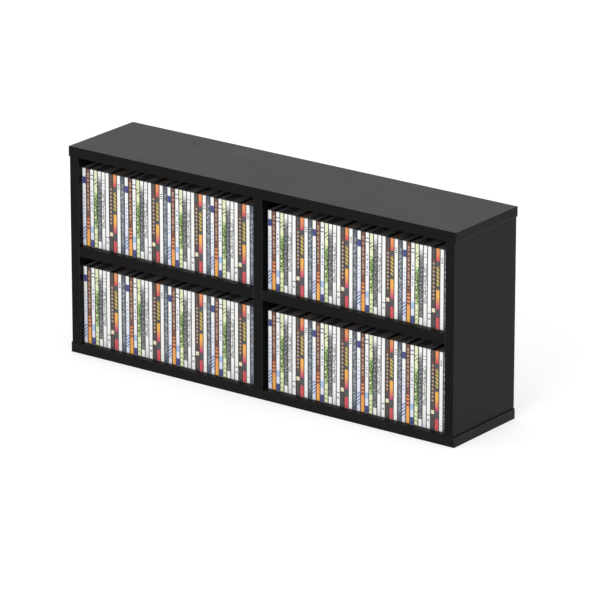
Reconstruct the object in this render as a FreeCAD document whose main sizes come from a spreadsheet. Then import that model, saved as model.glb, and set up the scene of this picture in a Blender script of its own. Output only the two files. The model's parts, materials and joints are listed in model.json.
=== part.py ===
"""CD storage box: a black cabinet of four bays, each holding a row of slim CD cases.

Millimetres, +Z up. The origin is the middle of the underside, and the open front faces -Y.
Every board is drawn lying flat, with its length along X, its front edge towards -Y and its inner
face up. Its Placement then turns it about Y, so that the inner face looks the way it does in the box.
"""

import FreeCAD, Part
import os
import re

import Sketcher

DRIVING_SIZES = {
    # slim CD cases and the way they stand in a bay
    "case_height": 125,
    "case_depth": 142,
    "case_thickness": 7.2,
    "case_gap": 0.26,
    "case_setback": 8.7,
    "case_rear_gap": 0.3,
    "finger_room": 17,
    "left_row_lean": 0.09,
    "right_row_lean": 0.78,
    "spine_rim": 0.75,
    "spine_end": 1,
    "spine_recess": 0.5,
    # boards
    "board_thickness": 16,
    "bay_width": 334,
    "end_overhang": 2,
    "band_thickness": 0.8,
    # hardboard back in its groove
    "back_thickness": 3,
    "back_lip": 4,
    "groove_depth": 6,
    "groove_clearance": 0.15,
    # housings that the shelf ends sit in
    "housing_depth": 4,
    "housing_stop": 12,
    "housing_clearance": 0.15,
    # cam locks, bolts and dowels that clamp the uprights between the slabs
    "dowel_inset": 40,
    "fitting_spacing": 64,
    "dowel_diameter": 8,
    "dowel_length": 30,
    "dowel_end_room": 1,
    "blind_skin": 5,
    "fit_clearance": 0.1,
    "cam_diameter": 15,
    "cam_reach": 34,
    "cam_floor": 1,
    "cam_sink": 0.2,
    "cross_length": 8,
    "cross_width": 1.6,
    "cross_recess": 1.8,
    "bolt_head_diameter": 6.8,
    "bolt_head_length": 3.5,
    "bolt_rod_diameter": 5,
}

BLOCKS_IN_ROW = 4

# Length that a sketch's lines are first drawn with, before their constraints size them.
DRAWN_LENGTH = 4

DERIVED_SIZES = {
    "bay_height": "case_height + finger_room",
    "side_height": "2 * bay_height + board_thickness",
    "inner_width": "2 * bay_width + board_thickness",
    "box_width": "inner_width + 2 * board_thickness + 2 * end_overhang",
    "box_height": "side_height + 2 * board_thickness",
    "clear_depth": "case_setback + case_depth + case_rear_gap",
    "box_depth": "clear_depth + back_thickness + back_lip",
    "front_edge": "-box_depth / 2",
    "rear_edge": "box_depth / 2",
    "back_face": "front_edge + clear_depth",
    "half_board": "board_thickness / 2",
    "side_centre": "inner_width / 2 + half_board",
    "bay_centre": "(bay_width + board_thickness) / 2",
    "dowel_row": "front_edge + dowel_inset",
    "cam_row": "dowel_row + fitting_spacing",
    "blind_depth": "board_thickness - blind_skin",
    "dowel_in_end": "dowel_length - blind_depth",
    "cam_depth": "half_board + bolt_head_diameter / 2 + cam_floor",
    "cam_bottom": "half_board - cam_depth",
    "case_pitch": "case_thickness + case_gap",
    "cases_in_block": f"floor(bay_width / case_pitch / {BLOCKS_IN_ROW})",
    "row_slack": f"bay_width - {BLOCKS_IN_ROW} * cases_in_block * case_pitch + case_gap",
}

# Turn about Y that makes a board's inner face look that way.
FACING_UP = 0
FACING_RIGHT = 90
FACING_DOWN = 180
FACING_LEFT = -90

doc = FreeCAD.newDocument("cd_storage_box")
sub_parts = []


def make_sheet():
    """One sheet holds the driving sizes as numbers and the derived ones as formulas."""
    sheet = doc.addObject("Spreadsheet::Sheet", "Sizes")
    cells = {name: str(value) for name, value in DRIVING_SIZES.items()}
    cells.update({name: "=" + formula for name, formula in DERIVED_SIZES.items()})
    for row, (name, content) in enumerate(cells.items(), start=1):
        sheet.set(f"A{row}", name)
        sheet.setAlias(f"B{row}", name)
        sheet.set(f"B{row}", content)
    doc.recompute()


def bind(feature, path, formula):
    """Bind a property to a formula whose bare words are names in the sheet."""
    known = DRIVING_SIZES.keys() | DERIVED_SIZES.keys()

    def with_sheet(word):
        return f"Sizes.{word.group()}" if word.group() in known else word.group()

    feature.setExpression(path, re.sub(r"[a-z_]+", with_sheet, str(formula)))


def new_body(label, facing=FACING_UP, x="0", y="0", z="0"):
    """An empty sub-part, turned about Y and placed in the box."""
    body = doc.addObject("PartDesign::Body", label)
    body.Label = label
    turn = FreeCAD.Rotation(FreeCAD.Vector(0, 1, 0), facing)
    body.Placement = FreeCAD.Placement(FreeCAD.Vector(), turn)
    for axis, formula in (("x", x), ("y", y), ("z", z)):
        bind(body, f"Placement.Base.{axis}", formula)
    sub_parts.append(body)
    return body


def origin_feature(body, role):
    return next(item for item in body.Origin.OriginFeatures if item.Role == role)


def new_sketch(body, plane, x, y, z):
    """A sketch parallel to an origin plane, with its own origin at x, y, z of the body."""
    sketch = body.newObject("Sketcher::SketchObject", "Sketch")
    sketch.AttachmentSupport = [(origin_feature(body, plane), "")]
    sketch.MapMode = "FlatFace"
    offsets = {
        "XY_Plane": (x, y, z),
        "XZ_Plane": (x, z, f"-({y})"),
        "YZ_Plane": (y, z, x),
    }[plane]
    for axis, formula in zip("xyz", offsets):
        bind(sketch, f"AttachmentOffset.Base.{axis}", formula)
    return sketch


def add_constraint(sketch, formula, *terms):
    """A constraint of the sketch, driven by a formula where one is given."""
    index = sketch.addConstraint(Sketcher.Constraint(*terms))
    if formula is not None:
        bind(sketch, f"Constraints[{index}]", formula)


def draw_chain(sketch, points):
    """Closed chain of lines whose corners stay together and whose first corner is the origin."""
    corners = [FreeCAD.Vector(*point) for point in points]
    for start, end in zip(corners, corners[1:] + corners[:1]):
        sketch.addGeometry(Part.LineSegment(start, end), False)
    for line in range(len(corners)):
        add_constraint(sketch, None, "Coincident", line, 2, (line + 1) % len(corners), 1)
    add_constraint(sketch, None, "Coincident", 0, 1, -1, 1)


def rectangle(body, plane, corner, width, height):
    """Rectangle from its corner, along the two directions of its plane."""
    sketch = new_sketch(body, plane, *corner)
    side = DRAWN_LENGTH
    draw_chain(sketch, [(0, 0), (side, 0), (side, side), (0, side)])
    for line in (0, 2):
        add_constraint(sketch, None, "Horizontal", line)
    for line in (1, 3):
        add_constraint(sketch, None, "Vertical", line)
    add_constraint(sketch, width, "DistanceX", 0, 1, 0, 2, side)
    add_constraint(sketch, height, "DistanceY", 1, 1, 1, 2, side)
    return sketch


def circle(body, plane, centre, diameter):
    sketch = new_sketch(body, plane, *centre)
    upward = FreeCAD.Vector(0, 0, 1)
    sketch.addGeometry(Part.Circle(FreeCAD.Vector(), upward, DRAWN_LENGTH / 2), False)
    add_constraint(sketch, None, "Coincident", 0, 3, -1, 1)
    add_constraint(sketch, diameter, "Diameter", 0, DRAWN_LENGTH)
    return sketch


def pad(body, sketch, length):
    """Material along the sketch's normal."""
    feature = body.newObject("PartDesign::Pad", "Pad")
    feature.Profile = sketch
    bind(feature, "Length", length)
    return feature


def pocket(body, sketch, depth, along_normal=False):
    """Cut against the sketch's normal, or along it."""
    feature = body.newObject("PartDesign::Pocket", "Pocket")
    feature.Profile = sketch
    feature.Reversed = along_normal
    bind(feature, "Length", depth)
    return feature


def bore_face(body, x, y, diameter, depth):
    """Round hole into the inner face of a board."""
    return pocket(body, circle(body, "XY_Plane", (x, y, "half_board"), diameter), depth)


def bore_end(body, x, y, diameter, depth):
    """Round hole into the right end of a board."""
    return pocket(body, circle(body, "YZ_Plane", (x, y, "0"), diameter), depth)


def mirror_ends(body, features):
    """Repeat features at the other end of the board's length."""
    feature = body.newObject("PartDesign::Mirrored", "Mirrored")
    feature.Originals = features
    feature.MirrorPlane = (origin_feature(body, "YZ_Plane"), [""])
    body.Tip = feature


def turned_pin(body, x, y, steps):
    """Pin revolved about a line along X, from steps of length and diameter."""
    sketch = new_sketch(body, "XY_Plane", x, y, "0")
    points = [(0, 0)]
    for index in range(len(steps)):
        drawn_radius = DRAWN_LENGTH * (1 + index % 2)
        points.append((DRAWN_LENGTH * index, drawn_radius))
        points.append((DRAWN_LENGTH * (index + 1), drawn_radius))
    points.append((DRAWN_LENGTH * len(steps), 0))
    draw_chain(sketch, points)
    axis_line = len(points) - 1
    for line in range(axis_line):
        add_constraint(sketch, None, "Horizontal" if line % 2 else "Vertical", line)
    add_constraint(sketch, None, "Horizontal", axis_line)
    for index, (length, diameter) in enumerate(steps):
        line = 2 * index + 1
        drawn_radius = points[line][1]
        add_constraint(sketch, length, "DistanceX", line, 1, line, 2, DRAWN_LENGTH)
        add_constraint(sketch, f"({diameter}) / 2", "DistanceY", -1, 1, line, 1, drawn_radius)
    feature = body.newObject("PartDesign::Revolution", "Revolution")
    feature.Profile = sketch
    feature.ReferenceAxis = (sketch, ["H_Axis"])
    feature.Angle = 360
    return feature


def board(label, length, rear, facing, x, z):
    """Plain board of the given length, from behind its front band to its rear edge."""
    body = new_body(label, facing, x=x, z=z)
    front = "front_edge + band_thickness"
    corner = (f"-({length}) / 2", front, "-half_board")
    pad(body, rectangle(body, "XY_Plane", corner, length, f"{rear} - ({front})"), "board_thickness")
    return body


def groove(body, length):
    """Groove for the back panel, in the inner face of a board."""
    corner = (f"-({length}) / 2", "back_face - groove_clearance", "half_board")
    width = "back_thickness + 2 * groove_clearance"
    pocket(body, rectangle(body, "XY_Plane", corner, length, width), "groove_depth")


def drill_ends(body, length):
    """Cam bore, bolt bore and dowel bore at both ends of a board."""
    end = f"({length}) / 2"
    cam_bore = "cam_diameter + 2 * fit_clearance"
    bolt_bore = "bolt_head_diameter + 2 * fit_clearance"
    dowel_bore = "dowel_diameter + 2 * fit_clearance"
    bores = [
        bore_face(body, f"{end} - cam_reach", "cam_row", cam_bore, "cam_depth + cam_sink"),
        bore_end(body, end, "cam_row", bolt_bore, "cam_reach"),
        bore_end(body, end, "dowel_row", dowel_bore, "dowel_in_end + dowel_end_room"),
    ]
    mirror_ends(body, bores)


def drill_mating_face(body, x):
    """Bolt bore and dowel bore in the face that an upright's end stands against."""
    return [
        bore_face(body, x, "cam_row", "bolt_rod_diameter + 2 * fit_clearance", "blind_depth"),
        bore_face(body, x, "dowel_row", "dowel_diameter + 2 * fit_clearance", "blind_depth"),
    ]


def shelf_housing(body, face, along_normal):
    """Trench across an upright that takes a shelf's end, stopped behind the front edge."""
    start = "front_edge + housing_stop - housing_clearance"
    corner = ("-half_board - housing_clearance", start, face)
    width = "board_thickness + 2 * housing_clearance"
    trench = rectangle(body, "XY_Plane", corner, width, f"back_face - ({start})")
    pocket(body, trench, "housing_depth", along_normal)


def front_band(label, length, facing, x, z):
    """Edge band along the front of a board."""
    body = new_body(label, facing, x=x, z=z)
    corner = (f"-({length}) / 2", "front_edge", "-half_board")
    pad(body, rectangle(body, "XY_Plane", corner, length, "band_thickness"), "board_thickness")
    return body


def cam_pair(label, length, facing, x, z):
    """Cam lock at each end of a board: a drum with a slot for the bolt's rod, a pocket for its
    head and a cross recess for the screwdriver."""
    body = new_body(label, facing, x=x, z=z)
    centre = f"({length}) / 2 - cam_reach"
    rod = "(bolt_rod_diameter + 2 * fit_clearance)"
    head = "(bolt_head_diameter + 2 * fit_clearance)"
    drum = pad(
        body,
        circle(body, "XY_Plane", (centre, "cam_row", "cam_bottom - cam_sink"), "cam_diameter"),
        "cam_depth",
    )
    cuts = []
    slots = (
        (centre, rod, "cam_diameter"),
        (f"{centre} - fit_clearance", head, "bolt_head_length + 2 * fit_clearance"),
    )
    for start, width, length_of_slot in slots:
        corner = (start, f"cam_row - {width} / 2", "cam_bottom - cam_sink")
        sketch = rectangle(body, "XY_Plane", corner, length_of_slot, width)
        cuts.append(pocket(body, sketch, f"{width} / 2 - cam_bottom + cam_sink", along_normal=True))
    arms = (("cross_length", "cross_width"), ("cross_width", "cross_length"))
    for arm_x, arm_y in arms:
        corner = (f"{centre} - {arm_x} / 2", f"cam_row - {arm_y} / 2", "half_board - cam_sink")
        cuts.append(pocket(body, rectangle(body, "XY_Plane", corner, arm_x, arm_y), "cross_recess"))
    mirror_ends(body, [drum, *cuts])


def cam_bolt_pair(label, length, facing, x, z):
    """Bolt at each end of a board, from the cam into the slab that the board stands against."""
    body = new_body(label, facing, x=x, z=z)
    steps = [
        ("bolt_head_length", "bolt_head_diameter"),
        ("cam_reach - bolt_head_length + blind_depth", "bolt_rod_diameter"),
    ]
    mirror_ends(body, [turned_pin(body, f"({length}) / 2 - cam_reach", "cam_row", steps)])


def dowel_pair(label, length, facing, x, z):
    """Beech dowel across the joint at each end of a board."""
    body = new_body(label, facing, x=x, z=z)
    start = f"({length}) / 2 - dowel_in_end"
    steps = [("dowel_length", "dowel_diameter")]
    mirror_ends(body, [turned_pin(body, start, "dowel_row", steps)])


def top_and_bottom():
    """The two outer slabs, each with its groove, drillings and three-sided edge band."""
    core_length = "box_width - 2 * band_thickness"
    slabs = (
        ("top", FACING_DOWN, "box_height - half_board"),
        ("bottom", FACING_UP, "half_board"),
    )
    for name, facing, z in slabs:
        body = board(f"{name}_panel", core_length, "rear_edge", facing, "0", z)
        groove(body, "inner_width + 2 * groove_depth")
        drill_mating_face(body, "0")
        mirror_ends(body, drill_mating_face(body, "side_centre"))

        band = front_band(f"{name}_panel_edge_band", "box_width", facing, "0", z)
        end_corner = ("box_width / 2 - band_thickness", "front_edge + band_thickness", "-half_board")
        end_strip = rectangle(
            band, "XY_Plane", end_corner, "band_thickness", "box_depth - band_thickness"
        )
        mirror_ends(band, [pad(band, end_strip, "board_thickness")])


def uprights():
    """Side panels and divider, with the fittings that clamp them between the slabs."""
    places = (
        ("left_side", "left_side_panel", FACING_RIGHT, "-side_centre", "rear_edge"),
        ("right_side", "right_side_panel", FACING_LEFT, "side_centre", "rear_edge"),
        ("divider", "centre_divider", FACING_LEFT, "0", "back_face"),
    )
    height = "side_height"
    middle = "box_height / 2"
    for name, board_label, facing, x, rear in places:
        body = board(board_label, height, rear, facing, x, middle)
        shelf_housing(body, "half_board", along_normal=False)
        if rear == "rear_edge":
            groove(body, height)
        else:
            shelf_housing(body, "-half_board", along_normal=True)
        drill_ends(body, height)
        front_band(f"{name}_edge_band", height, facing, x, middle)
        cam_pair(f"{name}_cam_locks", height, facing, x, middle)
        cam_bolt_pair(f"{name}_cam_bolts", height, facing, x, middle)
        dowel_pair(f"{name}_dowels", height, facing, x, middle)


def shelves():
    """Shelves whose end tongues sit in the housings of the sides and the divider."""
    middle = "box_height / 2"
    tongue_start = "front_edge + housing_stop"
    for name, x in (("left_shelf", "-bay_centre"), ("right_shelf", "bay_centre")):
        body = board(name, "bay_width", "back_face", FACING_UP, x, middle)
        corner = ("bay_width / 2", tongue_start, "-half_board")
        tongue = rectangle(
            body,
            "XY_Plane",
            corner,
            "housing_depth - housing_clearance",
            f"back_face - ({tongue_start})",
        )
        mirror_ends(body, [pad(body, tongue, "board_thickness")])
        front_band(f"{name}_edge_band", "bay_width", FACING_UP, x, middle)


def back():
    """Hardboard back, held in the grooves on all four sides."""
    lap = "(groove_depth - groove_clearance)"
    width = f"(inner_width + 2 * {lap})"
    height = f"(side_height + 2 * {lap})"
    body = new_body("back_panel", z="box_height / 2")
    corner = (f"-{width} / 2", "back_face", f"-{height} / 2")
    pad(body, rectangle(body, "XY_Plane", corner, width, "back_thickness"), height)


def case_row(label, x, z, count):
    """CD cases standing side by side: closed slim cases with a recessed spine window."""
    body = new_body(label, x=x, y="front_edge + case_setback", z=z)
    outline = rectangle(body, "XY_Plane", ("0", "0", "0"), "case_thickness", "case_depth")
    case = pad(body, outline, "case_height")
    window = rectangle(
        body,
        "XZ_Plane",
        ("spine_rim", "0", "spine_end"),
        "case_thickness - 2 * spine_rim",
        "case_height - 2 * spine_end",
    )
    spine = pocket(body, window, "spine_recess")
    if count is None:
        return
    row = body.newObject("PartDesign::LinearPattern", "Row")
    row.Originals = [case, spine]
    row.Direction = (origin_feature(body, "X_Axis"), [""])
    row.Mode = "Spacing"
    bind(row, "Offset", "case_pitch")
    bind(row, "Occurrences", count)
    body.Tip = row


def cases():
    """Four rows of cases, each in blocks. The last block but one of a row gives up its last case,
    which is a sub-part of its own."""
    columns = (
        ("left", "-inner_width / 2 + left_row_lean * row_slack"),
        ("right", "half_board + right_row_lean * row_slack"),
    )
    floors = (
        ("upper", "2 * board_thickness + bay_height"),
        ("lower", "board_thickness"),
    )
    for level, z in floors:
        for column, start in columns:
            for block in range(BLOCKS_IN_ROW):
                x = f"{start} + {block} * cases_in_block * case_pitch"
                count = "cases_in_block"
                if block == BLOCKS_IN_ROW - 2:
                    count = "cases_in_block - 1"
                    single_x = f"{x} + ({count}) * case_pitch"
                    case_row(f"{level}_{column}_single_case", single_x, z, None)
                case_row(f"{level}_{column}_cases_{block + 1}", x, z, count)


def check_document():
    """Stop if any object failed to compute or any sub-part has no sound shape."""
    for item in doc.Objects:
        if "Invalid" in item.State or "Error" in item.State:
            raise RuntimeError(f"{item.Label} failed: {item.State}")
    for body in sub_parts:
        if body.Shape.isNull() or not body.Shape.isValid() or not body.Shape.Solids:
            raise RuntimeError(f"{body.Label} has no valid solid")


def export_parts():
    os.makedirs("parts", exist_ok=True)
    for body in sub_parts:
        body.Shape.exportStep(os.path.join("parts", f"{body.Label}.step"))


make_sheet()
top_and_bottom()
uprights()
shelves()
back()
cases()
doc.recompute()
check_document()
export_parts()
print(f"{len(sub_parts)} sub-parts, {sum(len(body.Shape.Solids) for body in sub_parts)} solids")
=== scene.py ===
"""Looks of a black CD cabinet and of the slim cases that stand in it.

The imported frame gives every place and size. Lengths are metres, and printed designs are drawn in millimetres.
"""

import json
import math

import bmesh
import bpy
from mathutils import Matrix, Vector


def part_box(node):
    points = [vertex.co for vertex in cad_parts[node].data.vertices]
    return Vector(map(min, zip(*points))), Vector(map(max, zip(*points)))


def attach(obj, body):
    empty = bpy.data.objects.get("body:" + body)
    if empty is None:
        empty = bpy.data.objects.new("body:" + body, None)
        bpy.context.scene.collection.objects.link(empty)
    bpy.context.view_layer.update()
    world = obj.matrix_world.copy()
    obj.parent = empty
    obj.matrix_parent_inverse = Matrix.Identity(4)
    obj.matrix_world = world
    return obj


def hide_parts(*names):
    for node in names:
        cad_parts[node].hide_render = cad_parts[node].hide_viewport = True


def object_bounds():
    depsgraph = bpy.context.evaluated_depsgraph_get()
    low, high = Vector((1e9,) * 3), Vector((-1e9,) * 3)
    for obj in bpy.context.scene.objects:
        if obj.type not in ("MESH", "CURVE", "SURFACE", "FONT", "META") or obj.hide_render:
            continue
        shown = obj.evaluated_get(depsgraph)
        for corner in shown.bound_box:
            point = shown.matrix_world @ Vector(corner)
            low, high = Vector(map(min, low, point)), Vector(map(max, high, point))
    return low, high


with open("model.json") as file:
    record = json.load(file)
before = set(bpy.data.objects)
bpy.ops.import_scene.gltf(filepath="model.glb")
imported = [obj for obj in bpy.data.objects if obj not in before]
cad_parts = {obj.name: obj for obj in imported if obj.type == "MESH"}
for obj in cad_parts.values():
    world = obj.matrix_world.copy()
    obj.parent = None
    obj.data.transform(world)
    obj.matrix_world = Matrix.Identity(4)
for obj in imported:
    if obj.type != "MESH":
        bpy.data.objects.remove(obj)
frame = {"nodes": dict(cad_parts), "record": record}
CAD_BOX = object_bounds()
MM = 0.001

# Directions in the frame
UPWARD = Vector((0.0, 0.0, 1.0))
FORWARD = Vector((0.0, -1.0, 0.0))
LEFTWARD = Vector((-1.0, 0.0, 0.0))
RIGHTWARD = Vector((1.0, 0.0, 0.0))

# Camera, solved from the cabinet's corners in a square picture
CAMERA_AZIMUTH = math.radians(36.5245)
CAMERA_ELEVATION = math.radians(18.8058)
CAMERA_DISTANCE = 7.7778
CAMERA_TARGET = Vector((0.0790, -0.0792, 0.1729))
CAMERA_LENS_MM = 313.92
CAMERA_SENSOR_MM = 36.0
CAMERA_REACH = 200.0

# Studio. The floor's glow and the seen sky are for the eye and for reflections, and light nothing
FLOOR_SIDE = 60.0
FLOOR_ALBEDO = 0.65
FLOOR_GLOW = 0.52
SKY_LIGHT = 0.8
SKY_SEEN = 1.0
LAMP_PLACE = Vector((0.5, -3.2, 1.4))
LAMP_SIDE = 1.8
LAMP_POWER = 43.0

# Gloss of the boards, and of their edging, which is a little higher round the bottom panel
BOARD_GLOSS = 0.087
BAND_GLOSS = 0.095
FOOT_BAND_GLOSS = 0.13

# Raw chipboard, which shows within this distance of the rear edges
CORE_DEPTH = 0.05 * MM
CORE_ROUGHNESS = 0.9

# Rounded edges. The end trim is how far the top panel's end strips are rounded in and up at their foot
BOARD_ARRIS = 0.15 * MM
BAND_ARRIS = 0.3 * MM
BACK_ARRIS = 0.15 * MM
FITTING_ARRIS = 0.1 * MM
CASE_ARRIS = 0.2 * MM
ARRIS_SEGMENTS = 2
END_TRIM = (0.7 * MM, 2.6 * MM)
STRIP_STEPS = 6
WELD_DISTANCE = 0.002 * MM
FLAT_ANGLE = math.radians(0.5)
SHARP_ANGLE = math.radians(35)

# Names of the bays, and numbers of the blocks of cases in each
LEVELS = ("upper", "lower")
COLUMNS = ("left", "right")
BLOCKS = (1, 2, 3, 4)

# Slim case, as fitted inside the solid that the frame gives
SPINE_DEPTH = 6.0 * MM
HINGE_GAP = 0.15 * MM
TRAY_SHARE = 0.6
TRAY_PLATE = 1.2 * MM
TRAY_STEP = 0.7 * MM
PARTING_GAP = 0.2 * MM
WINDOW_RIM = 0.75 * MM
WINDOW_FOOT = 1.2 * MM
WINDOW_HEAD = 0.45 * MM
WINDOW_RECESS = 0.5 * MM
COVER_RIM = 2.0 * MM

# Printed sheets in the spine window, and in the outer faces of a run of cases
SHEET_CLEARANCE = 0.05 * MM
SHEET_BACK = 0.48 * MM
SHEET_FRONT = 0.3 * MM
SHEET_CROWN = 0.12 * MM
SHEET_COLUMNS = 8
PRINT_MAP = "print"
TONE_LAYER = "shell_tone"
INLAY_INDEX = 0
COVER_INDEX = 1

# Heights just past the upper edge of a spine card and of a cover, in millimetres
CARD_TOP = 124
COVER_TOP = 121


def srgb(red, green, blue):
    """A colour given as screen levels from 0 to 255, as linear light with full alpha."""
    def linear(level):
        share = level / 255
        if share <= 0.04045:
            return share / 12.92
        return ((share + 0.055) / 1.055) ** 2.4
    return (linear(red), linear(green), linear(blue), 1.0)


# Inks of the generic designs
WHITE = srgb(249, 249, 247)
SILVER = srgb(222, 226, 228)
ASH = srgb(174, 176, 176)
GREY = srgb(122, 122, 126)
DARK_GREY = srgb(76, 78, 82)
CHARCOAL = srgb(62, 60, 60)
INK = srgb(40, 44, 52)
LAVENDER = srgb(228, 230, 247)
SKY_BLUE = srgb(172, 198, 234)
BLUE = srgb(98, 114, 190)
NAVY = srgb(64, 72, 136)
SLATE = srgb(88, 100, 118)
MIST = srgb(190, 206, 222)
CREAM = srgb(238, 226, 190)
SAND = srgb(190, 164, 138)
YELLOW = srgb(228, 198, 80)
AMBER = srgb(246, 180, 78)
ORANGE = srgb(236, 148, 90)
RUST = srgb(168, 92, 66)
BROWN = srgb(112, 66, 52)
RED = srgb(214, 78, 88)
MAGENTA = srgb(206, 70, 116)
PALE_GREEN = srgb(234, 240, 196)
LEAF = srgb(134, 174, 84)
FOREST = srgb(72, 98, 50)

# Tones of the case shells, by the tray that shows through them
BLACK_TRAY = (0.016, 0.016, 0.017, 1.0)
SMOKE_TRAY = (0.062, 0.063, 0.067, 1.0)
GREY_TRAY = (0.16, 0.162, 0.158, 1.0)
BROWN_TRAY = (0.19, 0.125, 0.09, 1.0)


class Shade:
    """A material under construction: its node tree, and short ways to add nodes to it.

    A value is a plain one or another node's socket. An underscore in a socket's name stands for a space.
    """

    # Places of the colour sockets of a Mix node, which has several sockets of each name
    MIX_FACTOR = 0
    MIX_FIRST = 6
    MIX_SECOND = 7
    MIX_RESULT = 2

    # Where most of a noise lies, and most of the sum of two
    NOISE_RANGE = (0.3, 0.7)
    PAIR_RANGE = (0.7, 1.3)

    def __init__(self, name, **constants):
        self.material = bpy.data.materials.new(name)
        self.material.use_nodes = True
        self.tree = self.material.node_tree
        self.shader = self.tree.nodes["Principled BSDF"]
        for socket, value in constants.items():
            self.shader.inputs[socket.replace("_", " ")].default_value = value

    def feed(self, socket, value):
        """Links a socket to another one, or sets it to a plain value."""
        if isinstance(value, bpy.types.NodeSocket):
            self.tree.links.new(value, socket)
        else:
            socket.default_value = value

    def node(self, kind, settings=None, **inputs):
        made = self.tree.nodes.new("ShaderNode" + kind)
        for name, value in (settings or {}).items():
            setattr(made, name, value)
        for name, value in inputs.items():
            self.feed(made.inputs[name.replace("_", " ")], value)
        return made

    def maths(self, operation, *values):
        made = self.node("Math", {"operation": operation})
        for socket, value in zip(made.inputs, values):
            self.feed(socket, value)
        return made.outputs[0]

    def mix(self, factor, first, second):
        """A colour that runs from the first to the second as the factor runs from nought to one."""
        made = self.node("Mix", {"data_type": "RGBA"})
        self.feed(made.inputs[self.MIX_FACTOR], factor)
        self.feed(made.inputs[self.MIX_FIRST], first)
        self.feed(made.inputs[self.MIX_SECOND], second)
        return made.outputs[self.MIX_RESULT]

    def span(self, value, low, high, to_low=0.0, to_high=1.0):
        """The value moved from one range to another, and held inside the second."""
        made = self.node("MapRange", Value=value, From_Min=low, From_Max=high, To_Min=to_low, To_Max=to_high)
        return made.outputs["Result"]

    def swing(self, noise, low=0.0, high=1.0):
        """A noise stretched to run from low to high."""
        return self.span(noise, *self.NOISE_RANGE, low, high)

    def swing_of_two(self, first, second, low, high):
        """The sum of two noises, stretched to run from low to high."""
        return self.span(self.maths("ADD", first, second), *self.PAIR_RANGE, low, high)

    def place(self):
        return self.node("TexCoord").outputs["Object"]

    def stretched(self, scale):
        """Object coordinates, each axis times its own scale."""
        return self.node("Mapping", Vector=self.place(), Scale=scale).outputs["Vector"]

    def noise(self, vector, scale, detail=3.0, roughness=0.5):
        made = self.node("TexNoise", Vector=vector, Scale=scale, Detail=detail, Roughness=roughness)
        return made.outputs["Fac"]

    def bump(self, height, distance, strength):
        made = self.node("Bump", Height=height, Distance=distance, Strength=strength)
        self.feed(self.shader.inputs["Normal"], made.outputs["Normal"])

    def surface(self, colour, roughness):
        """Feeds the shader, and returns the finished material."""
        self.feed(self.shader.inputs["Base Color"], colour)
        self.feed(self.shader.inputs["Roughness"], roughness)
        return self.material


def chipboard_mask(shade):
    """One where a board's rear edge shows its raw core, and nought on the faced sides."""
    rear_edge = CAD_BOX[1].y - CORE_DEPTH
    depth = shade.node("SeparateXYZ", Vector=shade.place()).outputs["Y"]
    return shade.maths("GREATER_THAN", depth, rear_edge)


def chipboard_colour(shade):
    """Pressed chips: pale flakes of several browns, with darker gaps between them."""
    gap = srgb(112, 82, 56)
    deep = srgb(150, 116, 80)
    pale = srgb(206, 172, 128)
    chips = shade.node("TexVoronoi", Vector=shade.stretched((1.0, 1.0, 2.2)), Scale=420.0)
    shift = shade.node("SeparateColor", Color=chips.outputs["Color"]).outputs["Red"]
    flake = shade.mix(shift, deep, pale)
    fibres = shade.noise(shade.stretched((1.0, 1.0, 3.0)), scale=1500.0)
    filled = shade.span(fibres, low=0.3, high=0.5, to_low=0.25)
    return shade.mix(filled, gap, flake)


def black_board():
    """Satin black melamine with a fine pearl grain, over a chipboard core that shows at the rear edges."""
    shade = Shade("black_melamine", Specular_IOR_Level=BOARD_GLOSS)
    deep = (0.0070, 0.0070, 0.0073, 1.0)
    pale = (0.0086, 0.0086, 0.0089, 1.0)
    grain = shade.noise(shade.place(), scale=2600.0, detail=2.0)
    cloud = shade.noise(shade.place(), scale=14.0, detail=4.0)
    black = shade.mix(shade.swing(cloud), deep, pale)
    core = chipboard_mask(shade)
    colour = shade.mix(core, black, chipboard_colour(shade))
    satin = shade.swing_of_two(grain, cloud, low=0.28, high=0.36)
    raw = shade.maths("MULTIPLY", core, CORE_ROUGHNESS)
    shade.bump(grain, distance=0.02 * MM, strength=0.2)
    return shade.surface(colour, shade.maths("MAXIMUM", satin, raw))


def scraped_and_highlight_arris(shade):
    """One on a strip's upright arrises, which face between its front and a side, and nought elsewhere: where
    the edging is painted paler, partly for the whitening that trimming leaves and partly as a painted
    highlight.
    """
    normal = shade.node("NewGeometry").outputs["True Normal"]
    parts = shade.node("SeparateXYZ", Vector=normal).outputs
    between = shade.maths("ABSOLUTE", shade.maths("MULTIPLY", parts["X"], parts["Y"]))
    return shade.span(between, low=0.05, high=0.3)


def black_edge_band(name, gloss):
    """Thin black plastic edging with faint lines along its run, painted paler on its upright arrises, partly as
    whitened by trimming and partly as a painted highlight.
    """
    shade = Shade(name, Specular_IOR_Level=gloss)
    deep = (0.002, 0.002, 0.0022, 1.0)
    pale = (0.003, 0.003, 0.0032, 1.0)
    # Paler colour of the upright arrises: partly edging whitened by trimming, partly a painted highlight
    scraped_and_highlight = (0.04, 0.04, 0.041, 1.0)
    lines = shade.noise(shade.stretched((1.0, 40.0, 1.0)), scale=180.0, detail=2.0)
    grain = shade.noise(shade.place(), scale=2200.0, detail=2.0)
    black = shade.mix(lines, deep, pale)
    # The upright arrises get the paler colour, a painted highlight as well as the whitening that trimming
    # leaves
    colour = shade.mix(scraped_and_highlight_arris(shade), black, scraped_and_highlight)
    shade.bump(grain, distance=0.015 * MM, strength=0.15)
    return shade.surface(colour, shade.swing_of_two(lines, grain, low=0.26, high=0.34))


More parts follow.
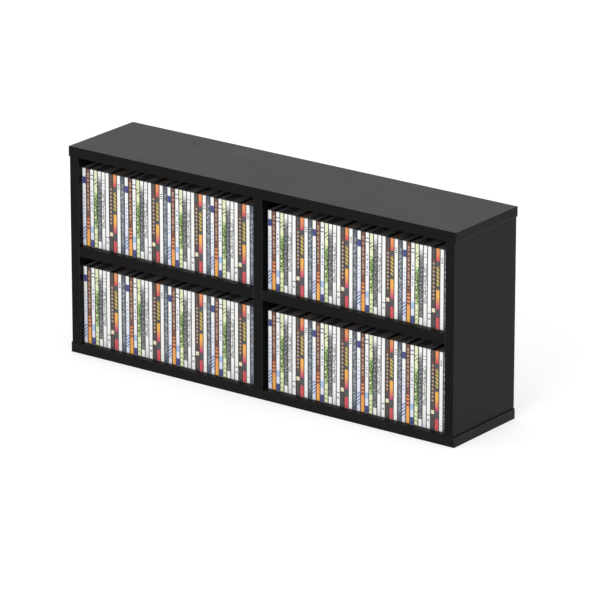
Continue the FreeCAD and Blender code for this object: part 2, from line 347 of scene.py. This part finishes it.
def black_hardboard():
    """Black hardboard: matted fibres, with the fine mesh of the press on it."""
    shade = Shade("black_hardboard", Specular_IOR_Level=0.2)
    deep = (0.006, 0.0055, 0.005, 1.0)
    pale = (0.02, 0.018, 0.016, 1.0)
    mesh_height = 0.35
    fibres = shade.noise(shade.stretched((1.0, 1.0, 0.35)), scale=900.0, detail=6.0, roughness=0.65)
    cloud = shade.noise(shade.place(), scale=22.0, detail=5.0)
    patches = shade.span(cloud, low=0.25, high=0.75, to_low=0.5)
    tone = shade.maths("MULTIPLY", shade.swing(fibres), patches)
    mesh = shade.node("TexChecker", Vector=shade.place(), Scale=900.0).outputs["Fac"]
    height = shade.maths("ADD", shade.maths("MULTIPLY", mesh, mesh_height), fibres)
    shade.bump(height, distance=0.06 * MM, strength=0.4)
    return shade.surface(shade.mix(tone, deep, pale), shade.swing(fibres, low=0.62, high=0.82))


def zinc_cam():
    """Die-cast zinc, dull and slightly clouded."""
    shade = Shade("cast_zinc", Metallic=1.0)
    deep = (0.42, 0.42, 0.43, 1.0)
    pale = (0.62, 0.62, 0.63, 1.0)
    cast = shade.noise(shade.place(), scale=700.0, detail=5.0)
    cloud = shade.noise(shade.place(), scale=160.0)
    shade.bump(cast, distance=0.05 * MM, strength=0.5)
    return shade.surface(shade.mix(cloud, deep, pale), shade.swing(cast, low=0.34, high=0.5))


def steel_bolt():
    """Turned steel with fine rings round the rod."""
    shade = Shade("turned_steel", Metallic=1.0)
    deep = (0.5, 0.5, 0.51, 1.0)
    pale = (0.66, 0.66, 0.67, 1.0)
    rings = shade.node("TexWave", {"bands_direction": "Z"}, Vector=shade.place(), Scale=900.0, Distortion=0.4)
    stain = shade.noise(shade.place(), scale=260.0)
    shade.bump(rings.outputs["Fac"], distance=0.03 * MM, strength=0.4)
    return shade.surface(shade.mix(stain, deep, pale), shade.swing(stain, low=0.24, high=0.36))


def beech_dowel():
    """Beech with short dark flecks along the grain."""
    shade = Shade("beech", Specular_IOR_Level=0.35)
    deep = srgb(196, 154, 108)
    pale = srgb(226, 190, 146)
    flecked = srgb(150, 104, 66)
    grain = shade.noise(shade.stretched((1.0, 1.0, 0.08)), scale=1400.0, detail=4.0)
    specks = shade.noise(shade.stretched((1.0, 1.0, 0.25)), scale=2600.0)
    fleck = shade.span(specks, low=0.6, high=0.7, to_high=0.5)
    colour = shade.mix(fleck, shade.mix(grain, deep, pale), flecked)
    shade.bump(grain, distance=0.05 * MM, strength=0.5)
    return shade.surface(colour, shade.swing(grain, low=0.5, high=0.7))


def case_plastic():
    """Glossy polystyrene in the tone of the tray inside, a little uneven along its flow in the mould."""
    shade = Shade("case_polystyrene", Specular_IOR_Level=0.4)
    tone = shade.node("Attribute", {"attribute_name": TONE_LAYER}).outputs["Color"]
    flow = shade.noise(shade.stretched((1.0, 0.3, 1.0)), scale=120.0, detail=4.0)
    colour = shade.mix(shade.swing(flow, high=0.3), tone, BLACK_TRAY)
    scuff = shade.noise(shade.stretched((6.0, 0.4, 1.0)), scale=500.0, detail=5.0)
    shade.bump(scuff, distance=0.01 * MM, strength=0.25)
    return shade.surface(colour, shade.span(scuff, low=0.35, high=0.7, to_low=0.16, to_high=0.32))


class Print(Shade):
    """A printed card under a clear window.

    Places on it are millimetres, x from its middle and y from its foot. A mask is one where ink goes. Where a
    method takes low and high, its mask lies between those two heights.
    """

    PAPER_SCALE = 3.0
    RUNG_SOFTNESS = 0.02

    def __init__(self, name, ground):
        super().__init__("print_" + name, Specular_IOR_Level=0.3, Coat_Weight=0.25, Coat_Roughness=0.12)
        self.sheet = self.node("UVMap", {"uv_map": PRINT_MAP}).outputs["UV"]
        parts = self.node("SeparateXYZ", Vector=self.sheet).outputs
        self.x = parts["X"]
        self.y = parts["Y"]
        self.colour = ground

    def ink(self, mask, colour):
        """Prints a colour over what is there, as far as the mask lets it."""
        self.colour = self.mix(mask, self.colour, colour)

    def band(self, low, high):
        above = self.maths("GREATER_THAN", self.y, low)
        below = self.maths("LESS_THAN", self.y, high)
        return self.maths("MULTIPLY", above, below)

    def fade(self, start, full):
        """A mask that grows from one height to another, up or down the card."""
        return self.span(self.y, start, full)

    def within(self, mask, low, high):
        return self.maths("MULTIPLY", mask, self.band(low, high))

    def narrowed(self, mask, *, half):
        """A mask held to the middle of the card, half its width to each side."""
        return self.maths("MULTIPLY", mask, self.maths("LESS_THAN", self.maths("ABSOLUTE", self.x), half))

    def repeated(self, value, pitch):
        """How far along its own repeat a value is, from nought to one."""
        return self.maths("FRACT", self.maths("DIVIDE", value, pitch))

    def from_middle(self, low, pitch):
        """How far a height is from the middle of its own repeat. The repeats start at low."""
        along = self.repeated(self.maths("SUBTRACT", self.y, low), pitch)
        return self.maths("MULTIPLY", self.maths("SUBTRACT", along, 0.5), pitch)

    def distance(self, across, rise):
        squares = self.maths("ADD", self.maths("POWER", across, 2.0), self.maths("POWER", rise, 2.0))
        return self.maths("SQRT", squares)

    def rings(self, low, high, *, pitch, radius, hollow):
        """A column of rings, one in each pitch, by their outer and inner radius."""
        reach = self.distance(self.x, self.from_middle(low, pitch))
        disc = self.maths("LESS_THAN", reach, radius)
        ring = self.maths("MULTIPLY", disc, self.maths("GREATER_THAN", reach, hollow))
        return self.within(ring, low, high)

    def lozenges(self, low, high, *, pitch, reach):
        """A column of squares that stand on their corners, one in each pitch."""
        rise = self.maths("ABSOLUTE", self.from_middle(low, pitch))
        total = self.maths("ADD", self.maths("ABSOLUTE", self.x), rise)
        return self.within(self.maths("LESS_THAN", total, reach), low, high)

    def stripes(self, low, high, *, pitch, share, lean=0.0, folded=False):
        """Stripes across the card with a slope of lean, or chevrons if they are folded at its middle."""
        across = self.maths("ABSOLUTE", self.x) if folded else self.x
        slanted = self.maths("MULTIPLY_ADD", across, lean, self.y)
        return self.within(self.maths("LESS_THAN", self.repeated(slanted, pitch), share), low, high)

    def zigzag(self, low, high, *, pitch, sway, half):
        """One line that swings from side to side as it climbs."""
        phase = self.maths("PINGPONG", self.y, pitch)
        line = self.span(phase, 0.0, pitch, -sway, sway)
        off = self.maths("ABSOLUTE", self.maths("SUBTRACT", self.x, line))
        return self.within(self.maths("LESS_THAN", off, half), low, high)

    def ripples(self, *, centre, pitch, share):
        """Rings round a point of the sheet."""
        across = self.maths("SUBTRACT", self.x, centre[0])
        rise = self.maths("SUBTRACT", self.y, centre[1])
        return self.maths("LESS_THAN", self.repeated(self.distance(across, rise), pitch), share)

    def mottle(self, *, scale, start, full, stretch=(1.0, 1.0, 1.0)):
        """A mask that comes and goes with a noise over the card."""
        field = self.node("Mapping", Vector=self.sheet, Scale=stretch).outputs["Vector"]
        return self.span(self.noise(field, scale, detail=4.0), start, full)

    def rungs(self, low, high, *, scale, cut, half):
        """Bars over the middle of the card, at uneven heights."""
        field = self.node("Mapping", Vector=self.sheet, Scale=(0.0, 1.0, 1.0)).outputs["Vector"]
        heights = self.noise(field, scale, detail=2.0)
        bars = self.span(heights, cut - self.RUNG_SOFTNESS, cut + self.RUNG_SOFTNESS)
        return self.narrowed(self.within(bars, low, high), half=half)

    def printed(self):
        """The finished material: the inks, with the paper's own grain in their tone and gloss."""
        paper = self.noise(self.sheet, self.PAPER_SCALE, detail=5.0)
        shaded = self.mix(self.swing(paper, high=0.03), self.colour, GREY)
        self.bump(paper, distance=0.01 * MM, strength=0.2)
        return self.surface(shaded, self.swing(paper, low=0.3, high=0.42))


def lavender_lattice():
    """Lavender that fades to white, with crossing stripes at the foot and a column of lozenges."""
    card = Print("lavender_lattice", LAVENDER)
    card.ink(card.fade(30, 80), WHITE)
    card.ink(card.stripes(8, 30, pitch=5.4, share=0.32, lean=0.9), SKY_BLUE)
    card.ink(card.stripes(8, 30, pitch=5.4, share=0.32, lean=-0.9), NAVY)
    card.ink(card.lozenges(48, 84, pitch=6.0, reach=2.0), SKY_BLUE)
    card.ink(card.band(99, 110), NAVY)
    return card.printed(), GREY_TRAY


def amber_steps():
    """Mottled brown over an amber foot, with steps between the two and a broken line of bars."""
    card = Print("amber_steps", BROWN)
    card.ink(card.mottle(scale=0.3, start=0.44, full=0.6), RUST)
    card.ink(card.within(card.mottle(scale=0.5, start=0.5, full=0.56), 44, CARD_TOP), CHARCOAL)
    card.ink(card.band(0, 26), ORANGE)
    card.ink(card.within(card.fade(32, 0), 0, 26), AMBER)
    card.ink(card.stripes(26, 44, pitch=6.0, share=0.5), ORANGE)
    card.ink(card.rungs(54, 118, scale=0.3, cut=0.5, half=1.5), SAND)
    return card.printed(), BLACK_TRAY


def lavender_blocks():
    """Lavender that fades to white, with blue blocks and bars."""
    card = Print("lavender_blocks", WHITE)
    card.ink(card.fade(60, 8), LAVENDER)
    card.ink(card.band(0, 11), NAVY)
    card.ink(card.band(22, 32), SKY_BLUE)
    card.ink(card.rungs(54, 94, scale=0.3, cut=0.52, half=1.2), BLUE)
    card.ink(card.stripes(106, 118, pitch=6.0, share=0.25), SLATE)
    return card.printed(), GREY_TRAY


def leaf_chevrons():
    """Pale green, mottled like foliage between chevrons and stripes."""
    card = Print("leaf_chevrons", PALE_GREEN)
    foliage = card.mottle(scale=0.3, start=0.45, full=0.5)
    card.ink(card.within(foliage, 30, 88), LEAF)
    shadows = card.mottle(scale=0.34, start=0.48, full=0.52, stretch=(1.0, 0.7, 1.0))
    card.ink(card.within(shadows, 34, 84), FOREST)
    card.ink(card.stripes(0, 22, pitch=7.0, share=0.3, lean=1.2, folded=True), LEAF)
    card.ink(card.stripes(98, 110, pitch=6.0, share=0.3, lean=-0.9), FOREST)
    return card.printed(), SMOKE_TRAY


def graphite_weave():
    """A rough grey weave between two white ends."""
    card = Print("graphite_weave", GREY)
    card.ink(card.stripes(0, CARD_TOP, pitch=6.4, share=0.45, lean=1.0), DARK_GREY)
    card.ink(card.stripes(0, CARD_TOP, pitch=6.4, share=0.26, lean=-1.0), ASH)
    card.ink(card.mottle(scale=0.3, start=0.48, full=0.52), DARK_GREY)
    card.ink(card.mottle(scale=0.45, start=0.59, full=0.62), ASH)
    card.ink(card.band(0, 11), WHITE)
    card.ink(card.fade(104, 118), WHITE)
    return card.printed(), SMOKE_TRAY


def silver_rules():
    """Silver that fades to white, with grey clouds and bars."""
    card = Print("silver_rules", SILVER)
    card.ink(card.fade(0, 30), WHITE)
    clouds = card.mottle(scale=0.3, start=0.46, full=0.52, stretch=(1.0, 0.6, 1.0))
    card.ink(card.within(clouds, 34, 96), ASH)
    card.ink(card.rungs(44, 86, scale=0.32, cut=0.54, half=1.3), GREY)
    card.ink(card.stripes(101, 113, pitch=5.0, share=0.3), ASH)
    return card.printed(), GREY_TRAY


def white_ring():
    """White with one ring and a rule near the foot."""
    card = Print("white_ring", WHITE)
    card.ink(card.rings(10, 15, pitch=5.0, radius=1.9, hollow=1.0), INK)
    card.ink(card.band(20, 21.5), GREY)
    return card.printed(), GREY_TRAY


def charcoal_lozenges():
    """Mottled charcoal with a column of sand lozenges over a cream block."""
    card = Print("charcoal_lozenges", CHARCOAL)
    card.ink(card.mottle(scale=0.25, start=0.46, full=0.56), DARK_GREY)
    card.ink(card.mottle(scale=0.3, start=0.52, full=0.58, stretch=(1.0, 0.5, 1.0)), BROWN)
    card.ink(card.mottle(scale=0.5, start=0.58, full=0.62), INK)
    card.ink(card.lozenges(42, 102, pitch=6.0, reach=2.2), SAND)
    card.ink(card.band(24, 30), CREAM)
    return card.printed(), BLACK_TRAY


def sunset_bands():
    """Dark grey with bands that run from red to amber, and leaning yellow stripes."""
    card = Print("sunset_bands", DARK_GREY)
    card.ink(card.band(0, 17), RED)
    card.ink(card.band(30, 60), MAGENTA)
    card.ink(card.within(card.fade(32, 50), 30, 60), AMBER)
    card.ink(card.narrowed(card.stripes(66, 96, pitch=6.0, share=0.55, lean=0.8), half=2.2), YELLOW)
    card.ink(card.band(104, CARD_TOP), RED)
    card.ink(card.within(card.fade(106, 116), 104, CARD_TOP), ORANGE)
    return card.printed(), BROWN_TRAY


def white_bars():
    """White with three short bars near the head, and a faint rule near the foot."""
    card = Print("white_bars", WHITE)
    card.ink(card.narrowed(card.stripes(102, 112, pitch=3.4, share=0.4), half=1.7), INK)
    card.ink(card.band(8, 9.5), SILVER)
    return card.printed(), GREY_TRAY


def slate_ripples():
    """Mottled slate with one pale line that zigzags up it."""
    card = Print("slate_ripples", SLATE)
    card.ink(card.mottle(scale=0.3, start=0.48, full=0.54), DARK_GREY)
    card.ink(card.mottle(scale=0.4, start=0.56, full=0.6, stretch=(1.0, 0.6, 1.0)), INK)
    card.ink(card.within(card.mottle(scale=0.35, start=0.56, full=0.6), 10, 118), MIST)
    card.ink(card.zigzag(14, 112, pitch=4.0, sway=1.6, half=0.5), ASH)
    return card.printed(), SMOKE_TRAY


def ruled_inlay(name, ground, edge, rule):
    """The sheet at the back of a case: an edge band, and plain rules."""
    sheet = Print(name, ground)
    sheet.ink(sheet.mottle(scale=0.03, start=0.4, full=0.65), WHITE)
    sheet.ink(sheet.band(104, COVER_TOP), edge)
    sheet.ink(sheet.narrowed(sheet.stripes(26, 92, pitch=6.0, share=0.12), half=50), rule)
    sheet.ink(sheet.stripes(0, 12, pitch=4.0, share=0.5, lean=0.9), edge)
    return sheet.printed()


def ripple_cover():
    """A front cover of rings that spread from low on the sheet, over a clouded ground."""
    sheet = Print("ripple_cover", SLATE)
    sheet.ink(sheet.mottle(scale=0.05, start=0.42, full=0.62), NAVY)
    sheet.ink(sheet.ripples(centre=(24, 34), pitch=7.0, share=0.3), MIST)
    sheet.ink(sheet.mottle(scale=0.08, start=0.52, full=0.64), SLATE)
    sheet.ink(sheet.band(104, COVER_TOP), INK)
    return sheet.printed()


def bar_cover():
    """A white front cover with leaning bars across its lower half."""
    sheet = Print("bar_cover", WHITE)
    sheet.ink(sheet.stripes(14, 62, pitch=12.0, share=0.4, lean=0.35), INK)
    sheet.ink(sheet.stripes(14, 62, pitch=12.0, share=0.12, lean=0.35), AMBER)
    sheet.ink(sheet.band(78, 79.5), GREY)
    return sheet.printed()


# One run of cases holds these designs in this order, from left to right, each with the tone of its tray
DESIGNS = [
    lavender_lattice(),
    amber_steps(),
    lavender_blocks(),
    leaf_chevrons(),
    graphite_weave(),
    silver_rules(),
    white_ring(),
    charcoal_lozenges(),
    sunset_bands(),
    white_bars(),
    slate_ripples(),
]
FIRST_DESIGN = 0
LAST_DESIGN = len(DESIGNS) - 1
# Outer sheets of a run, by the design of its first and of its last case. The single case has the last
# design, and the run beside it ends one design before that
INLAYS = {
    FIRST_DESIGN: ruled_inlay("lavender_inlay", LAVENDER, NAVY, BLUE),
    LAST_DESIGN: ruled_inlay("slate_inlay", MIST, SLATE, INK),
}
COVERS = {
    LAST_DESIGN - 1: bar_cover(),
    LAST_DESIGN: ripple_cover(),
}
# Material and rounding of the CAD nodes, by their material in the record
FINISHES = {
    "black_board": (black_board(), BOARD_ARRIS),
    "black_edge_band": (black_edge_band("black_edging", BAND_GLOSS), BAND_ARRIS),
    "black_hardboard": (black_hardboard(), BACK_ARRIS),
    "zinc_cam": (zinc_cam(), FITTING_ARRIS),
    "steel_bolt": (steel_bolt(), FITTING_ARRIS),
    "beech_dowel": (beech_dowel(), FITTING_ARRIS),
}
# Nodes with a finish of their own
NODE_FINISHES = {
    "bottom_panel_edge_band": (black_edge_band("glossy_edging", FOOT_BAND_GLOSS), BAND_ARRIS),
}
CASE_PLASTIC = case_plastic()


def round_edges(obj, width):
    """Joins a mesh's split corners and rounds its sharp edges, inside its own outline."""
    weld = obj.modifiers.new("weld", "WELD")
    weld.merge_threshold = WELD_DISTANCE
    flat = obj.modifiers.new("flat_faces", "DECIMATE")
    flat.decimate_type = "DISSOLVE"
    flat.angle_limit = FLAT_ANGLE
    arris = obj.modifiers.new("arris", "BEVEL")
    arris.width = width
    arris.segments = ARRIS_SEGMENTS
    arris.limit_method = "ANGLE"
    arris.angle_limit = SHARP_ANGLE
    arris.use_clamp_overlap = False


def dress_frame():
    """Gives each CAD node that stays its finish and its rounded edges."""
    for part in frame["record"]["subparts"]:
        finish = NODE_FINISHES.get(part["node"], FINISHES.get(part["material_slot"]))
        if finish is None:
            continue
        material, arris = finish
        obj = frame["nodes"][part["node"]]
        obj.material_slots[0].link = "OBJECT"
        obj.material_slots[0].material = material
        round_edges(obj, arris)


def add_object(name, data):
    obj = bpy.data.objects.new(name, data)
    bpy.context.scene.collection.objects.link(obj)
    return obj


def add_piece(name, mesh, materials, body):
    """Makes an object of a finished bmesh, and lets it ride on a body."""
    data = bpy.data.meshes.new(name)
    mesh.normal_update()
    mesh.to_mesh(data)
    mesh.free()
    obj = add_object(name, data)
    for material in materials:
        data.materials.append(material)
    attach(obj, body)
    return obj


def add_box(mesh, low, high):
    """Adds a closed box to a bmesh, and returns its faces."""
    made = bmesh.ops.create_cube(mesh, size=1.0)
    middle = (low + high) / 2
    size = high - low
    for corner in made["verts"]:
        corner.co = Vector((corner.co.x * size.x, corner.co.y * size.y, corner.co.z * size.z)) + middle
    return list({face for corner in made["verts"] for face in corner.link_faces})


def strip_profile(thickness, height, foot_trim, head_trim):
    """The section of an edging strip: insets from its outer face and heights, with both outer edges rounded.

    A trim is how far in and how far up or down an edge is rounded.
    """
    foot_inset, foot_rise = foot_trim
    head_inset, head_drop = head_trim
    turns = [math.pi / 2 * step / STRIP_STEPS for step in range(STRIP_STEPS + 1)]
    points = [(thickness, 0.0)]
    for turn in turns:
        points.append((foot_inset * (1 - math.sin(turn)), foot_rise * (1 - math.cos(turn))))
    for turn in turns:
        points.append((head_inset * (1 - math.cos(turn)), height - head_drop * (1 - math.sin(turn))))
    points.append((thickness, height))
    return points


def add_extrusion(mesh, start, end, outward, profile):
    """One straight run of a profile, from start to end along the foot of its outer face. Returns its faces.

    The profile's points are insets from that face and heights above its foot.
    """
    rings = []
    for place in (start, end):
        rings.append([mesh.verts.new(place - outward * inset + UPWARD * rise) for inset, rise in profile])
    faces = [mesh.faces.new(rings[0]), mesh.faces.new(list(reversed(rings[1])))]
    for place in range(len(profile)):
        after = (place + 1) % len(profile)
        faces.append(mesh.faces.new((rings[0][place], rings[1][place], rings[1][after], rings[0][after])))
    bmesh.ops.recalc_face_normals(mesh, faces=faces)
    return faces


def edge_top_panel():
    """Edges the top panel with a front strip and two end strips.

    The lower edges of the end strips are rounded to a long soft arris.
    """
    node = "top_panel_edge_band"
    slot = "black_edge_band"
    low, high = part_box(node)
    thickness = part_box("top_panel")[0].y - low.y
    height = high.z - low.z
    arris = (BAND_ARRIS, BAND_ARRIS)
    front_profile = strip_profile(thickness, height, arris, arris)
    end_profile = strip_profile(thickness, height, END_TRIM, arris)
    behind = low.y + thickness
    strips = bmesh.new()
    add_extrusion(strips, low, Vector((high.x, low.y, low.z)), FORWARD, front_profile)
    for edge, outward in ((low.x, LEFTWARD), (high.x, RIGHTWARD)):
        start = Vector((edge, behind, low.z))
        end = Vector((edge, high.y, low.z))
        add_extrusion(strips, start, end, outward, end_profile)
    material = FINISHES[slot][0]
    piece = add_piece("top_panel_edging", strips, [material], "cabinet")
    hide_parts(node)


def sink_window(mesh, face, rim, foot, head, depth):
    """Sets a window into an outer face: a sunk middle, in a border as wide as rim, foot and head say."""
    face.normal_update()
    inward = -face.normal.copy()
    bmesh.ops.inset_individual(mesh, faces=[face], thickness=rim, use_even_offset=True)
    middle = face.calc_center_median()
    for corner in face.verts:
        if corner.co.z < middle.z:
            corner.co.z += foot - rim
        else:
            corner.co.z -= head - rim
        corner.co += inward * depth


def facing(faces, outward):
    """The face that lies furthest out in a direction."""
    return max(faces, key=lambda face: face.calc_center_median().dot(outward))


def add_tray(mesh, low, high):
    """The tray: a back plate of the full height, and walls that stand inside the plate's edge."""
    thickness = high.x - low.x
    height = high.z - low.z
    profile = [
        (0.0, 0.0),
        (TRAY_PLATE, 0.0),
        (TRAY_PLATE, TRAY_STEP),
        (thickness, TRAY_STEP),
        (thickness, height - TRAY_STEP),
        (TRAY_PLATE, height - TRAY_STEP),
        (TRAY_PLATE, height),
        (0.0, height),
    ]
    return add_extrusion(mesh, low, Vector((low.x, high.y, low.z)), LEFTWARD, profile)


def add_case(mesh, low, high, tone, shows_back, shows_front):
    """One closed case: the spine with its window, the tray behind it, and the lid over the open tray."""
    layer = mesh.loops.layers.float_color[TONE_LAYER]
    faces_before = len(mesh.faces)
    parting = low.x + (high.x - low.x) * TRAY_SHARE
    behind = low.y + SPINE_DEPTH
    spine = add_box(mesh, low, Vector((high.x, behind, high.z)))
    sink_window(mesh, facing(spine, FORWARD), WINDOW_RIM, WINDOW_FOOT, WINDOW_HEAD, WINDOW_RECESS)
    tray_low = Vector((low.x, behind + HINGE_GAP, low.z))
    tray_high = Vector((parting - PARTING_GAP / 2, high.y, high.z))
    tray = add_tray(mesh, tray_low, tray_high)
    if shows_back:
        sink_window(mesh, facing(tray, LEFTWARD), COVER_RIM, COVER_RIM, COVER_RIM, WINDOW_RECESS)
    lid_low = Vector((parting + PARTING_GAP / 2, behind + HINGE_GAP, low.z))
    lid = add_box(mesh, lid_low, high)
    if shows_front:
        sink_window(mesh, facing(lid, RIGHTWARD), COVER_RIM, COVER_RIM, COVER_RIM, WINDOW_RECESS)
    for face in list(mesh.faces)[faces_before:]:
        for loop in face.loops:
            loop[layer] = tone


def add_sheet(mesh, foot, outward, half, height, material_index):
    """One printed sheet, crowned a little across its width, with its print laid out in millimetres.

    foot is the middle of the window's lower edge, level with its rim. outward is the way the sheet faces.
    """
    layer = mesh.loops.layers.uv[PRINT_MAP]
    across = UPWARD.cross(outward)
    outline = []
    for step in range(SHEET_COLUMNS + 1):
        share = 2 * step / SHEET_COLUMNS - 1
        outline.append((share * half, SHEET_FRONT - SHEET_CROWN * (1 - share ** 2)))
    outline.append((half, SHEET_BACK))
    outline.append((-half, SHEET_BACK))
    rings = []
    for rise in (0.0, height):
        level = foot + UPWARD * rise
        rings.append([mesh.verts.new(level + across * place - outward * depth) for place, depth in outline])
    faces = [mesh.faces.new(list(reversed(rings[0]))), mesh.faces.new(rings[1])]
    for place in range(len(outline)):
        after = (place + 1) % len(outline)
        faces.append(mesh.faces.new((rings[0][place], rings[0][after], rings[1][after], rings[1][place])))
    for face in faces:
        face.material_index = material_index
        for loop in face.loops:
            offset = loop.vert.co - foot
            loop[layer].uv = (offset.dot(across) / MM, offset.z / MM)


def add_spine_card(mesh, low, high, design):
    """The card in a spine's window."""
    foot = Vector(((low.x + high.x) / 2, low.y, low.z + WINDOW_FOOT + SHEET_CLEARANCE))
    half = (high.x - low.x) / 2 - WINDOW_RIM - SHEET_CLEARANCE
    height = high.z - low.z - WINDOW_FOOT - WINDOW_HEAD - 2 * SHEET_CLEARANCE
    add_sheet(mesh, foot, FORWARD, half, height, design)


def add_cover(mesh, low, high, outward, material_index):
    """The sheet in the outer face of the tray, to the left, or of the lid, to the right."""
    front = low.y + SPINE_DEPTH + HINGE_GAP
    edge = high.x if outward.x > 0 else low.x
    foot = Vector((edge, (front + high.y) / 2, low.z + COVER_RIM + SHEET_CLEARANCE))
    half = (high.y - front) / 2 - COVER_RIM - SHEET_CLEARANCE
    height = high.z - low.z - 2 * (COVER_RIM + SHEET_CLEARANCE)
    add_sheet(mesh, foot, outward, half, height, material_index)


def start_sheets():
    """An empty bmesh, ready for printed sheets."""
    mesh = bmesh.new()
    mesh.loops.layers.uv.new(PRINT_MAP)
    return mesh


def add_block(node, body, pitch, thickness, first_design):
    """Stands cases, spine cards and outer sheets for one CAD node that holds a run of cases."""
    low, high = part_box(node)
    count = round((high.x - low.x - thickness) / pitch) + 1
    shells = bmesh.new()
    shells.loops.layers.float_color.new(TONE_LAYER)
    cards = start_sheets()
    covers = start_sheets()
    for place in range(count):
        design = (first_design + place) % len(DESIGNS)
        tone = DESIGNS[design][1]
        case_low = Vector((low.x + place * pitch, low.y, low.z))
        case_high = Vector((case_low.x + thickness, high.y, high.z))
        is_first = place == 0
        is_last = place == count - 1
        add_case(shells, case_low, case_high, tone, is_first, is_last)
        add_spine_card(cards, case_low, case_high, design)
        if is_first:
            inlay = INLAYS[design]
            add_cover(covers, case_low, case_high, LEFTWARD, INLAY_INDEX)
        if is_last:
            cover = COVERS[design]
            add_cover(covers, case_low, case_high, RIGHTWARD, COVER_INDEX)
    shell_piece = add_piece(body + "_shells", shells, [CASE_PLASTIC], body)
    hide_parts(node)
    round_edges(shell_piece, CASE_ARRIS)
    add_piece(body + "_spine_cards", cards, [material for material, _ in DESIGNS], body)
    add_piece(body + "_covers", covers, [inlay, cover], body)


def fill_bays():
    """Fills the four bays: each has four blocks of cases, and a single case at the end of the third one."""
    for level in LEVELS:
        for column in COLUMNS:
            row = f"{level}_{column}"
            single_low, single_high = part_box(f"{row}_single_case")
            thickness = single_high.x - single_low.x
            first_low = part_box(f"{row}_cases_1")[0]
            second_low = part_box(f"{row}_cases_2")[0]
            pitch = (second_low.x - first_low.x) / len(DESIGNS)
            for block in BLOCKS:
                add_block(f"{row}_cases_{block}", f"{row}_block_{block}", pitch, thickness, FIRST_DESIGN)
            add_block(f"{row}_single_case", f"{row}_single", pitch, thickness, LAST_DESIGN)


def seen_by_eye(tree):
    """A socket that is one for rays from the camera, and for those that a mirror or glass sends on."""
    path = tree.nodes.new("ShaderNodeLightPath")
    total = path.outputs["Is Camera Ray"]
    for name in ("Is Glossy Ray", "Is Transmission Ray"):
        larger = tree.nodes.new("ShaderNodeMath")
        larger.operation = "MAXIMUM"
        tree.links.new(total, larger.inputs[0])
        tree.links.new(path.outputs[name], larger.inputs[1])
        total = larger.outputs[0]
    return total


def scaled(tree, value, low, high):
    """A socket that runs from low to high as value runs from nought to one."""
    made = tree.nodes.new("ShaderNodeMapRange")
    tree.links.new(value, made.inputs["Value"])
    made.inputs["To Min"].default_value = low
    made.inputs["To Max"].default_value = high
    return made.outputs["Result"]


def make_sky():
    """A white sky all round, which lights a little less than it shows."""
    world = bpy.data.worlds.new("studio")
    bpy.context.scene.world = world
    world.use_nodes = True
    tree = world.node_tree
    background = tree.nodes["Background"]
    background.inputs["Color"].default_value = (1.0, 1.0, 1.0, 1.0)
    tree.links.new(scaled(tree, seen_by_eye(tree), SKY_LIGHT, SKY_SEEN), background.inputs["Strength"])


def floor_paint():
    """Matt paint with a glow that only the eye and reflections see, so the shadow stays on it."""
    material = bpy.data.materials.new("pale_floor")
    material.use_nodes = True
    tree = material.node_tree
    tree.nodes.clear()
    output = tree.nodes.new("ShaderNodeOutputMaterial")
    total = tree.nodes.new("ShaderNodeAddShader")
    paint = tree.nodes.new("ShaderNodeBsdfDiffuse")
    paint.inputs["Color"].default_value = (FLOOR_ALBEDO, FLOOR_ALBEDO, FLOOR_ALBEDO, 1.0)
    glow = tree.nodes.new("ShaderNodeEmission")
    tree.links.new(scaled(tree, seen_by_eye(tree), 0.0, FLOOR_GLOW), glow.inputs["Strength"])
    tree.links.new(paint.outputs["BSDF"], total.inputs[0])
    tree.links.new(glow.outputs["Emission"], total.inputs[1])
    tree.links.new(total.outputs["Shader"], output.inputs["Surface"])
    return material


def make_floor():
    """A plain pale floor, white to the eye in the open, that keeps the object's soft shadow."""
    half = FLOOR_SIDE / 2
    corners = [(-half, -half, 0), (half, -half, 0), (half, half, 0), (-half, half, 0)]
    data = bpy.data.meshes.new("floor")
    data.from_pydata(corners, [], [(0, 1, 2, 3)])
    data.materials.append(floor_paint())
    floor = add_object("floor", data)


def aim(obj, target):
    obj.rotation_mode = "QUATERNION"
    obj.rotation_quaternion = (target - obj.location).to_track_quat("-Z", "Y")


def make_lamp():
    """A large square soft box in front of the cabinet, aimed at it."""
    data = bpy.data.lights.new("key", "AREA")
    data.shape = "SQUARE"
    data.size = LAMP_SIDE
    data.energy = LAMP_POWER
    lamp = add_object("key", data)
    lamp.location = LAMP_PLACE
    aim(lamp, CAMERA_TARGET)


def make_camera():
    """The camera at the photograph's viewing angle."""
    data = bpy.data.cameras.new("camera")
    data.lens = CAMERA_LENS_MM
    data.sensor_width = CAMERA_SENSOR_MM
    data.clip_end = CAMERA_REACH
    camera = add_object("camera", data)
    level = math.cos(CAMERA_ELEVATION)
    back = Vector((
        math.sin(CAMERA_AZIMUTH) * level,
        -math.cos(CAMERA_AZIMUTH) * level,
        math.sin(CAMERA_ELEVATION),
    ))
    camera.location = CAMERA_TARGET + CAMERA_DISTANCE * back
    aim(camera, CAMERA_TARGET)
    bpy.context.scene.camera = camera


dress_frame()
edge_top_panel()
fill_bays()
make_sky()
make_floor()
make_lamp()
make_camera()
bpy.context.scene.view_settings.view_transform = "Standard"
